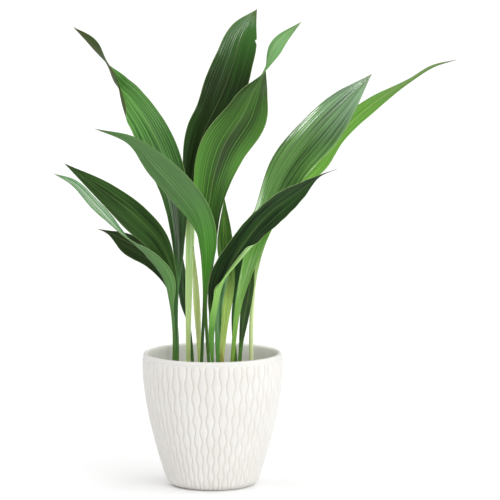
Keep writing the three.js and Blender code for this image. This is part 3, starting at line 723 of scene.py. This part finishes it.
def pot_material(speckle):
    """White satin stoneware, a little darker and warmer down in the grooves, partly its own tint and partly
    painted shade, and whiter inside, which is painted light.
    """
    material, tree, surface = new_material("white_stoneware")
    marks = use_group(tree, speckle, Coarse=GLAZE_MOTTLES, Fine=FINE_GRAINS)
    mottling = marks["Mottle"].rise(*GLAZE_MOTTLING) * GLAZE_MOTTLE_SHARE
    colour = mixed(tree, mottling, *GLAZES)
    groove = attribute(tree, "groove").rise(*GROOVE_DEPTHS) * GROOVE_TINT_AND_SHADE_SHARE
    # Darker and warmer in the grooves: the clay's own tint and painted shade
    colour = mixed(tree, groove, colour, GROOVE_TINT_AND_SHADE)
    # Whiter inside than out: painted light against the shade in the pot
    colour = mixed(tree, attribute(tree, "inside"), colour, INSIDE_GLAZE_PAINTED_LIGHT)
    rough = marks["Mottle"] * GLAZE_ROUGHNESS[1] + GLAZE_ROUGHNESS[0]
    feed_all(tree, surface, {"Base Color": colour, "Specular IOR Level": 0.3, "Roughness": rough})
    add_bump(tree, surface, marks["Grain"], GLAZE_BUMP)
    return material


def soil_material(name, speckle, browns):
    """Damp peat compost, matt and uneven in colour."""
    material, tree, surface = new_material(name)
    marks = use_group(tree, speckle, Coarse=SOIL_MOTTLES, Fine=FINE_GRAINS)
    colour = mixed(tree, marks["Mottle"].rise(*SOIL_MOTTLING), *browns)
    feed_all(tree, surface, {"Base Color": colour, "Roughness": 0.92})
    add_bump(tree, surface, marks["Grain"], SOIL_BUMP)
    return material


def floor_material(speckle):
    material, tree, surface = new_material("pale_floor")
    mottle = use_group(tree, speckle, Coarse=FLOOR_MOTTLES, Fine=FLOOR_GRAINS)["Mottle"]
    colour = mixed(tree, mottle * FLOOR_MOTTLE_SHARE, *FLOOR_WHITES)
    feed_all(tree, surface, {"Base Color": colour, "Roughness": 0.8, "Specular IOR Level": 0.2})
    return material


def mesh_piece(name, points, faces, material, numbers, smooth=True):
    """A piece from points in millimetres and faces, with named numbers on its points."""
    mesh = bpy.data.meshes.new(name)
    mesh.from_pydata((np.asarray(points) * MM).tolist(), [], faces)
    for label, values in numbers.items():
        layer = mesh.attributes.new(label, "FLOAT", "POINT")
        layer.data.foreach_set("value", np.asarray(values, np.float32).ravel())
    mesh.polygons.foreach_set("use_smooth", [smooth] * len(mesh.polygons))
    mesh.materials.append(material)
    mesh.update()
    piece = bpy.data.objects.new(name, mesh)
    bpy.context.scene.collection.objects.link(piece)
    return piece


def tube_piece(name, rings, material, numbers, shut=True):
    """A piece from rings of points, which run clockwise seen along it. Numbers are spread over them."""
    count, around = rings.shape[:2]
    faces = []
    for here in range(0, (count - 1) * around, around):
        for step in range(around):
            after = (step + 1) % around
            faces.append((here + step, here + after, here + around + after, here + around + step))
    if shut:
        last = (count - 1) * around
        faces.append(tuple(range(around))[::-1])
        faces.append(tuple(range(last, last + around)))
    spread = {label: np.broadcast_to(values, (count, around)) for label, values in numbers.items()}
    return mesh_piece(name, rings.reshape(-1, 3), faces, material, spread)


def unit(vectors):
    return vectors / np.linalg.norm(vectors, axis=1)[:, None]


def along_route(route, shares):
    """Places, rolls, widths and folds on a smooth curve through a route, at shares of its length."""
    knots = np.concatenate([[0.0], np.cumsum(np.linalg.norm(np.diff(route[:, :3], axis=0), axis=1))])
    chords = np.diff(knots)[:, None]
    steepness = np.diff(route, axis=0) / chords
    blend = (steepness[:-1] * chords[1:] + steepness[1:] * chords[:-1]) / (chords[1:] + chords[:-1])
    slopes = np.vstack([steepness[:1], blend, steepness[-1:]])
    where = shares * knots[-1]
    span = np.clip(np.searchsorted(knots, where) - 1, 0, len(chords) - 1)
    chord = chords[span]
    t = (where - knots[span])[:, None] / chord
    cubic = (2 * t**3 - 3 * t**2 + 1) * route[span] + (3 * t**2 - 2 * t**3) * route[span + 1]
    bend = (t**3 - 2 * t**2 + t) * slopes[span] + (t**3 - t**2) * slopes[span + 1]
    return cubic + bend * chord


def leaf_frames(route, shares):
    """Directions along the leaf, across it to its right margin, and out of its upper face."""
    ahead = along_route(route, np.minimum(1.0, shares + FRAME_STEP))[:, :3]
    behind = along_route(route, np.maximum(0.0, shares - FRAME_STEP))[:, :3]
    along = unit(ahead - behind)
    flat = unit(np.cross(along, (0.0, -1.0, 0.0)))
    roll = np.radians(along_route(route, shares)[:, 3])[:, None]
    across = flat * np.cos(roll) + np.cross(along, flat) * np.sin(roll)
    return along, across, np.cross(across, along)


def stalk_half_width(leaf, shares):
    start = leaf["blade_from"]
    fade = np.clip((shares - start) / (1 - start), 0, 1)
    foot, neck = leaf["stalk"]
    widened = foot + (neck - foot) * smooth_step(0.0, start, shares)
    return TIP_HALF_WIDTH + (widened - TIP_HALF_WIDTH) * (1 - fade) ** 2


def pleats(u, b, seed):
    """The blade's own shallow lengthwise folds between its veins, different on every leaf."""
    draw = np.random.default_rng(seed)
    folds = np.zeros(np.broadcast(u, b).shape)
    for count in PLEAT_COUNTS:
        shift, sway, lean = draw.uniform(0, 2 * np.pi), draw.uniform(*PLEAT_SWAY), draw.uniform(*PLEAT_LEAN)
        phase = 2 * np.pi * count * u + shift + sway * np.sin(2 * np.pi * b + shift) + lean * b
        folds = folds + np.sin(phase) / count
    return folds


def folded_over(u, x, lift, out, curl):
    """The cross-section with its margins, beyond 1 in out, turned over the upper face as curl says."""
    x, lift = x.copy(), lift.copy()
    centre = len(u) // 2
    for side, columns in ((1, np.arange(centre, len(u))), (-1, np.arange(centre, -1, -1))):
        outer = columns[1:]
        over, up = np.diff(x[:, columns], axis=1), np.diff(lift[:, columns], axis=1)
        bend = smooth_step(*CURL_BEND, np.abs(out[:, outer]))
        turn = np.radians(CURL_TURN) * side * curl[:, outer] * bend
        x[:, outer] = x[:, [centre]] + np.cumsum(over * np.cos(turn) - up * np.sin(turn), axis=1)
        lift[:, outer] = lift[:, [centre]] + np.cumsum(over * np.sin(turn) + up * np.cos(turn), axis=1)
    return x, lift


def blade_edges(leaf, u, b, left, right):
    """The blade's half width at each point, and how far its margins reach and turn over where it curls."""
    blade = left[:, None] + (right - left)[:, None] * smooth_step(-MIDRIB_BLEND, MIDRIB_BLEND, u)
    if leaf["nick"]:
        place, side, depth, length = leaf["nick"]
        bite = depth * np.exp(-(((b - place) / length) ** 2))
        blade = blade * (1 - bite * smooth_step(NICK_REACH, 1.0, u * side))
    curl = np.zeros(blade.shape)
    out = u + curl
    for side, start, end, width in leaf["curls"]:
        here = smooth_step(start, start + CURL_RISE, b) * smooth_step(end, end - CURL_RISE, b)
        on_side = u * side > 0
        out = np.where(on_side, out * (1 + width * here), out)
        curl = np.where(on_side, here, curl)
    return blade, out, curl


def leaf_piece(leaf, seed, material):
    """A leaf's closed body: its upper face, its lower face and the thin margin round them.

    u is -1 at the left margin and 1 at the right one, and b is 0 where the blade begins and 1 at the tip."""
    route = np.array(leaf["route"], float)
    columns = SMALL_ACROSS_CELLS if leaf["small"] else ACROSS_CELLS
    cells = SMALL_BLADE_CELLS if leaf["small"] else BLADE_CELLS
    start = leaf["blade_from"]
    stalk_shares = np.linspace(0, start, STALK_CELLS, endpoint=False)
    shares = np.concatenate([[0.0], stalk_shares, np.linspace(start, 1.0, cells + 1)])
    spots = along_route(route, shares)
    left, right = np.maximum(spots[:, 4:6], 0.0).T
    fold = np.radians(spots[:, 6])[:, None]
    stalk = stalk_half_width(leaf, shares)[:, None]
    u = np.linspace(-1, 1, columns + 1)[None, :]
    edge = np.abs(u)
    up = shares[:, None]
    b = (up - start) / (1 - start)
    blade, out, curl = blade_edges(leaf, u, b, left, right)

    mean = ((left + right) / 2)[:, None]
    flat = np.minimum(1, mean / (FLAT_ABOVE_RATIO * stalk))
    share = np.minimum(1, mean / mean.max())
    reach = np.sqrt((blade * np.cos(fold)) ** 2 + stalk**2)
    x = reach * (out * flat + np.sin(u * np.pi / 2) * (1 - flat))
    thin = MIDRIB_THICKNESS + (MARGIN_THICKNESS - MIDRIB_THICKNESS) * edge**THINNING_POWER
    thick = STALK_THICKNESS_RATIO * stalk * np.maximum(np.cos(u * np.pi / 2), STALK_EDGE_SHARE)
    thickness = np.maximum(thin * flat + thick * (1 - flat), LEAST_THICKNESS)
    side_shift = np.where(u < 0, LEFT_RIPPLE_SHIFT, 0.0)
    ripple = np.sin(2 * np.pi * leaf["waves"] * up + side_shift) * edge**RIPPLE_POWER
    crinkle = np.sin(2 * np.pi * CRINKLES * up + 2 * side_shift + seed) * edge**CRINKLE_POWER
    straight = np.sqrt(out**2 + MIDRIB_ROUNDING**2) - MIDRIB_ROUNDING
    rounded = straight * (1 - HALF_CURVATURE) + out**2 * HALF_CURVATURE
    lift = blade * np.sin(fold) * rounded + (leaf["ripple"] * ripple + MARGIN_CRINKLE * crinkle) * share
    pleating = PLEAT_DEPTH * leaf["pleating"] * share * (1 - edge**PLEAT_FADE_POWER)
    lift = lift + pleats(u, b, seed) * pleating
    groove_shape = np.exp(-((x / MIDRIB_GROOVE_WIDTH) ** 2))
    groove = MIDRIB_GROOVE_DEPTH * groove_shape * flat * share**GROOVE_FADE_POWER
    channel_shape = np.exp(-((x / (STALK_CHANNEL_WIDTH * stalk)) ** 2))
    channel = STALK_CHANNEL_DEPTH * stalk * channel_shape * (1 - flat)

    x, lift = folded_over(u[0], x, lift, out, curl)
    over, rise = np.gradient(x, axis=1), np.gradient(lift, axis=1)
    length = np.hypot(over, rise)
    along, across, upward = leaf_frames(route, shares)
    middle = spots[:, :3]
    middle[0] -= along[0] * STALK_DEPTH
    faces = []
    for off in (thickness / 2 - groove - channel, -thickness / 2 - groove * LOWER_GROOVE_SHARE):
        sideways, forward = x - rise / length * off, lift + over / length * off
        place = across[:, None] * sideways[..., None] + upward[:, None] * forward[..., None]
        faces.append(middle[:, None] + place)
    rings = np.concatenate([faces[0], faces[1][:, ::-1]], axis=1)
    numbers = {
        "across": np.concatenate([u[0], u[0, ::-1]]),
        "blade": np.where(b < 0, (up - start) / start, b),
        "off_midrib": np.abs(np.concatenate([x, x[:, ::-1]], axis=1)),
        "upper": np.repeat([1.0, 0.0], columns + 1),
    }
    return tube_piece(leaf["node"] + "_leaf", rings, material, numbers)


def pot_body_radius(z):
    """Radius of the pot's outside down in its grooves."""
    rise = np.maximum(0.0, 1 - z / POT_SWELL_HEIGHT)
    swell = (POT_RADIUS - POT_FOOT_RADIUS) * rise**POT_SWELL_POWER
    corner = np.maximum(0.0, 1 - z / FOOT_ROUND_HEIGHT)
    return POT_RADIUS - swell - FOOT_ROUND_DEPTH * corner**2


def pot_cavity_radius(z):
    """Radius of the pot's inside."""
    above = np.maximum(z, FLOOR) - FLOOR
    corner = FLOOR_CORNER_DEPTH * np.maximum(0.0, 1 - above / FLOOR_CORNER_HEIGHT) ** 2
    return pot_body_radius(FLOOR + above + OUTSIDE_LEAD) - WALL - corner


def pot_profile():
    """The pot's section from the middle of its base, up its outside, over the lip and down inside."""
    base = [(radius, 0.0) for radius in BASE_RADII]
    outside = [(pot_body_radius(z), z) for z in np.linspace(0.0, LIP_BAND_FROM, RELIEF_ROWS)]
    turns = np.radians(np.linspace(*LIP_TURN, LIP_STEPS))
    lip_radii = LIP_MIDDLE[0] + LIP_HALF_SIZE[0] * np.cos(turns)
    lip_heights = LIP_MIDDLE[1] + LIP_HALF_SIZE[1] * np.sin(turns)
    inside = [(pot_cavity_radius(z), z) for z in INSIDE_LEVELS]
    floor = [(radius, FLOOR) for radius in INSIDE_FLOOR_RADII]
    return np.array([*base, *outside, *zip(lip_radii, lip_heights), *inside, *floor])


def new_shape_tree(name, numbers):
    """A Geometry Nodes tree: a mesh, named numbers and a material come in, and a mesh goes out."""
    tree = bpy.data.node_groups.new(name, "GeometryNodeTree")
    inputs = {"Mesh": "NodeSocketGeometry", **numbers, "Material": "NodeSocketMaterial"}
    for label, kind in inputs.items():
        tree.interface.new_socket(label, in_out="INPUT", socket_type=kind)
    tree.interface.new_socket("Mesh", in_out="OUTPUT", socket_type="NodeSocketGeometry")
    return tree, tree.nodes.new("NodeGroupInput"), tree.nodes.new("NodeGroupOutput")


def finish_shape(tree, entry, end, shape):
    """Ends a tree in real faces with their material."""
    real = add_node(tree, "GeometryNodeRealizeInstances", {0: shape.outputs[0]})
    painted = {"Geometry": real.outputs[0], "Material": entry.outputs["Material"]}
    feed(tree, end.inputs[0], add_node(tree, "GeometryNodeSetMaterial", painted).outputs[0])


def grow(piece, tree, **values):
    """Runs a tree on a piece with the given inputs, and makes the result the piece's own plain mesh."""
    modifier = piece.modifiers.new(tree.name, "NODES")
    modifier.node_group = tree
    for item in tree.interface.items_tree:
        label = item.name.replace(" ", "_")
        if item.in_out == "INPUT" and label in values:
            modifier[item.identifier] = values[label]
    seen = piece.evaluated_get(bpy.context.evaluated_depsgraph_get())
    mesh = bpy.data.meshes.new_from_object(seen)
    piece.modifiers.remove(modifier)
    old = piece.data
    piece.data = mesh
    bpy.data.meshes.remove(old)
    return piece


def make_waved_relief():
    """Moves the pot's outside points into waved grooves with lens-shaped cells standing between them.

    The points carry their place round the pot in grooves, their height, their radius and the relief."""
    sizes = ("Grooves", "Turn", "Swing", "Ridge Height", "Roundness", "Rim", "Wave Length", "Shortening",
             "First Wave")
    tree, entry, end = new_shape_tree("waved_relief", {label: "NodeSocketFloat" for label in sizes})
    given = {label: Value(tree, entry.outputs[label]) for label in sizes}

    def carried(label):
        node = add_node(tree, "GeometryNodeInputNamedAttribute", {"Name": label}, data_type="FLOAT")
        return Value(tree, node.outputs["Attribute"])

    place, height, radius, relief = (carried(k) for k in ("place", "height", "radius", "relief"))
    below = given["Rim"] - height
    waves = below / given["Wave Length"] * (below / given["Shortening"] + 1.0) - given["First Wave"]
    groove = place.math("FLOOR")
    t = place - groove
    # 1 at even grooves and -1 at odd ones, which swing the other way
    side = (groove / 2.0).math("FRACT") * -4.0 + 1.0
    swing = side * given["Swing"] * (waves * (2 * math.pi)).math("COSINE")
    width = swing * -2.0 + 1.0
    angle = (groove + swing + t * width + given["Turn"]) * (2 * math.pi) / given["Grooves"]
    from_middle = (t * 2.0 - 1.0).size()
    crown = (from_middle ** given["Roundness"] * -1.0 + 1.0).math("MAXIMUM", 0.0) ** CROWN_POWER
    out = radius + given["Ridge Height"] * width.math("SQRT") * crown * relief
    spot = vector(tree, out * angle.math("COSINE"), out * angle.math("SINE"), height)
    moved = {"Geometry": entry.outputs["Mesh"], "Position": spot}
    finish_shape(tree, entry, end, add_node(tree, "GeometryNodeSetPosition", moved))
    return tree


def pot_piece(material):
    """The pot: rings of points up its profile, which the waved relief then moves into place."""
    profile = pot_profile()
    radius, height = profile[:, :1], profile[:, 1:]
    place = (np.arange(GROOVES)[:, None] + CELL_COLUMNS).ravel()
    relief = smooth_step(0.0, RELIEF_FADE, height)
    relief = relief * smooth_step(LIP_BAND_FROM, LIP_BAND_FROM - RELIEF_FADE, height)
    top = np.argmax(height)
    relief[top:] = 0.0
    inside = np.arange(len(profile)) > top + 1
    angle = 2 * np.pi * (place + GROOVE_TURN) / GROOVES
    rings = np.stack(np.broadcast_arrays(radius * np.cos(angle), radius * np.sin(angle), height), axis=-1)
    numbers = {
        "place": place,
        "height": height * MM,
        "radius": radius * MM,
        "relief": relief,
        "groove": relief * np.abs(2 * (place % 1.0) - 1) ** VALLEY_POWER,
        "inside": inside[:, None],
    }
    return grow(
        tube_piece("pot_body", rings, material, numbers), make_waved_relief(), Grooves=float(GROOVES),
        Turn=GROOVE_TURN, Swing=WAVE_SWING, Ridge_Height=RIDGE_HEIGHT * MM, Roundness=RIDGE_ROUNDNESS,
        Rim=POT_HEIGHT * MM, Wave_Length=WAVE_LENGTH * MM, Shortening=WAVE_SHORTENING * MM,
        First_Wave=FIRST_WAVE, Material=material,
    )


def soil_height(x, y):
    """The soil's surface: a low mound, lumpy by a millimetre or two."""
    inward = 1 - (np.hypot(x, y) / POT_RADIUS) ** 2
    (x1, y1), (x2, y2) = ((x * across, y * along) for across, along in LUMP_PACES)
    lumps = LUMP_HEIGHTS[0] * np.sin(x1 + 1) * np.cos(y1) + LUMP_HEIGHTS[1] * np.sin(x2 - y2)
    (x1, y1), (x2, y2) = ((x * across, y * along) for across, along in GRAIN_PACES)
    grains = GRAIN_HEIGHTS[0] * np.sin(x1 + 2 * np.sin(y1)) + GRAIN_HEIGHTS[1] * np.sin(y2 + np.sin(x2))
    return SOIL_LEVEL - SOIL_MOUND / 2 + (SOIL_MOUND + lumps + grains) * inward


def soil_rings(radii, sides):
    """Rings of points on the soil's surface, with the given radii."""
    angle = np.linspace(0, 2 * np.pi, sides, endpoint=False)
    x = radii[:, None] * np.cos(angle)
    y = radii[:, None] * np.sin(angle)
    return np.stack([x, y, soil_height(x, y)], axis=-1)


def surface_radii(gap, rings):
    """Radii from a gap inside the pot's wall to nearly the middle."""
    return (pot_cavity_radius(SOIL_LEVEL) - gap) * np.linspace(1.0, INNERMOST_RING, rings)


def soil_piece(material):
    """A block of soil that fills the pot."""
    walls = np.array(SOIL_WALL_LEVELS)
    below = np.concatenate([[SOIL_FOOT_RADIUS], pot_cavity_radius(walls) - SOIL_GAP])
    rings = soil_rings(np.concatenate([below, surface_radii(SOIL_GAP, SOIL_RINGS)]), SOIL_SIDES)
    rings[0, :, 2] = walls[0]
    rings[1:len(below), :, 2] = walls[:, None]
    return tube_piece("soil_block", rings, material, {})


def make_crumb_scatter():
    """Scatters crumbs of random size and turn over a mesh's faces, and dents them."""
    kinds = {"Density": "NodeSocketFloat", "Size": "NodeSocketFloat", "Seed": "NodeSocketInt"}
    tree, entry, end = new_shape_tree("crumb_scatter", kinds)
    mesh, density, size, seed = (entry.outputs[label] for label in ("Mesh", *kinds))

    def random(least, most):
        inputs = {"Min": least, "Max": most, "Seed": seed}
        return add_node(tree, "FunctionNodeRandomValue", inputs, data_type="FLOAT_VECTOR").outputs["Value"]

    scattered = {"Mesh": mesh, "Density": density, "Seed": seed}
    spread = add_node(tree, "GeometryNodeDistributePointsOnFaces", scattered)
    crumb = add_node(tree, "GeometryNodeMeshIcoSphere", {"Subdivisions": 2, "Radius": size})
    placed = {"Points": spread.outputs["Points"], "Instance": crumb.outputs["Mesh"],
              "Rotation": random(*CRUMB_TURN), "Scale": random(*CRUMB_SCALE)}
    place = add_node(tree, "GeometryNodeInstanceOnPoints", placed)
    real = add_node(tree, "GeometryNodeRealizeInstances", {0: place.outputs["Instances"]})
    dents = add_node(tree, "ShaderNodeTexNoise", {"Scale": CRUMB_DENTS_TO_A_METRE}).outputs["Color"]
    centred = add_node(tree, "ShaderNodeVectorMath", {0: dents, 1: (0.5, 0.5, 0.5)}, operation="SUBTRACT")
    offset = shaded(tree, centred.outputs[0], CRUMB_DENT_DEPTH * MM)
    move = add_node(tree, "GeometryNodeSetPosition", {"Geometry": real.outputs[0], "Offset": offset})
    finish_shape(tree, entry, end, move)
    return tree


def make_crumbs(name, scatter, density, size, seed, material):
    """Crumbs scattered over a plain disc that matches the soil's surface."""
    rings = soil_rings(surface_radii(BED_GAP, BED_RINGS), BED_SIDES)
    bed = tube_piece(name, rings, material, {}, shut=False)
    return grow(bed, scatter, Density=density, Size=size * MM, Seed=seed, Material=material)


def make_floor(speckle):
    corners = [(x * FLOOR_REACH, y * FLOOR_REACH, 0) for x, y in ((-1, -1), (1, -1), (1, 1), (-1, 1))]
    floor = mesh_piece("floor", corners, [(0, 1, 2, 3)], floor_material(speckle), {}, smooth=False)


def settle(piece, node):
    """A finished piece rides on the one body, and stands for a CAD node where it has one."""
    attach(piece, "root")
    if node:
        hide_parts(node)


make_camera()
light_the_studio()
SPECKLE = make_speckle()
MARKINGS = make_leaf_markings()
make_floor(SPECKLE)

settle(pot_piece(pot_material(SPECKLE)), "pot")
PEAT = soil_material("peat", SPECKLE, PEAT_BROWNS)
BARK = soil_material("bark", SPECKLE, BARK_BROWNS)
settle(soil_piece(PEAT), "soil")
SCATTER = make_crumb_scatter()
settle(make_crumbs("peat_crumbs", SCATTER, *PEAT_CRUMBS, PEAT), None)
settle(make_crumbs("bark_chips", SCATTER, *BARK_CHIPS, BARK), None)

for first_seed, usual, leaves in ((1, {}, LEAVES), (FIRST_SHEATH_SEED, USUAL_SHEATH, SHEATHS)):
    for seed, (node, leaf) in enumerate(leaves.items(), first_seed):
        leaf = {**USUAL_LEAF, **usual, **leaf, "node": node}
        settle(leaf_piece(leaf, seed, leaf_material(leaf, seed, MARKINGS)), node)
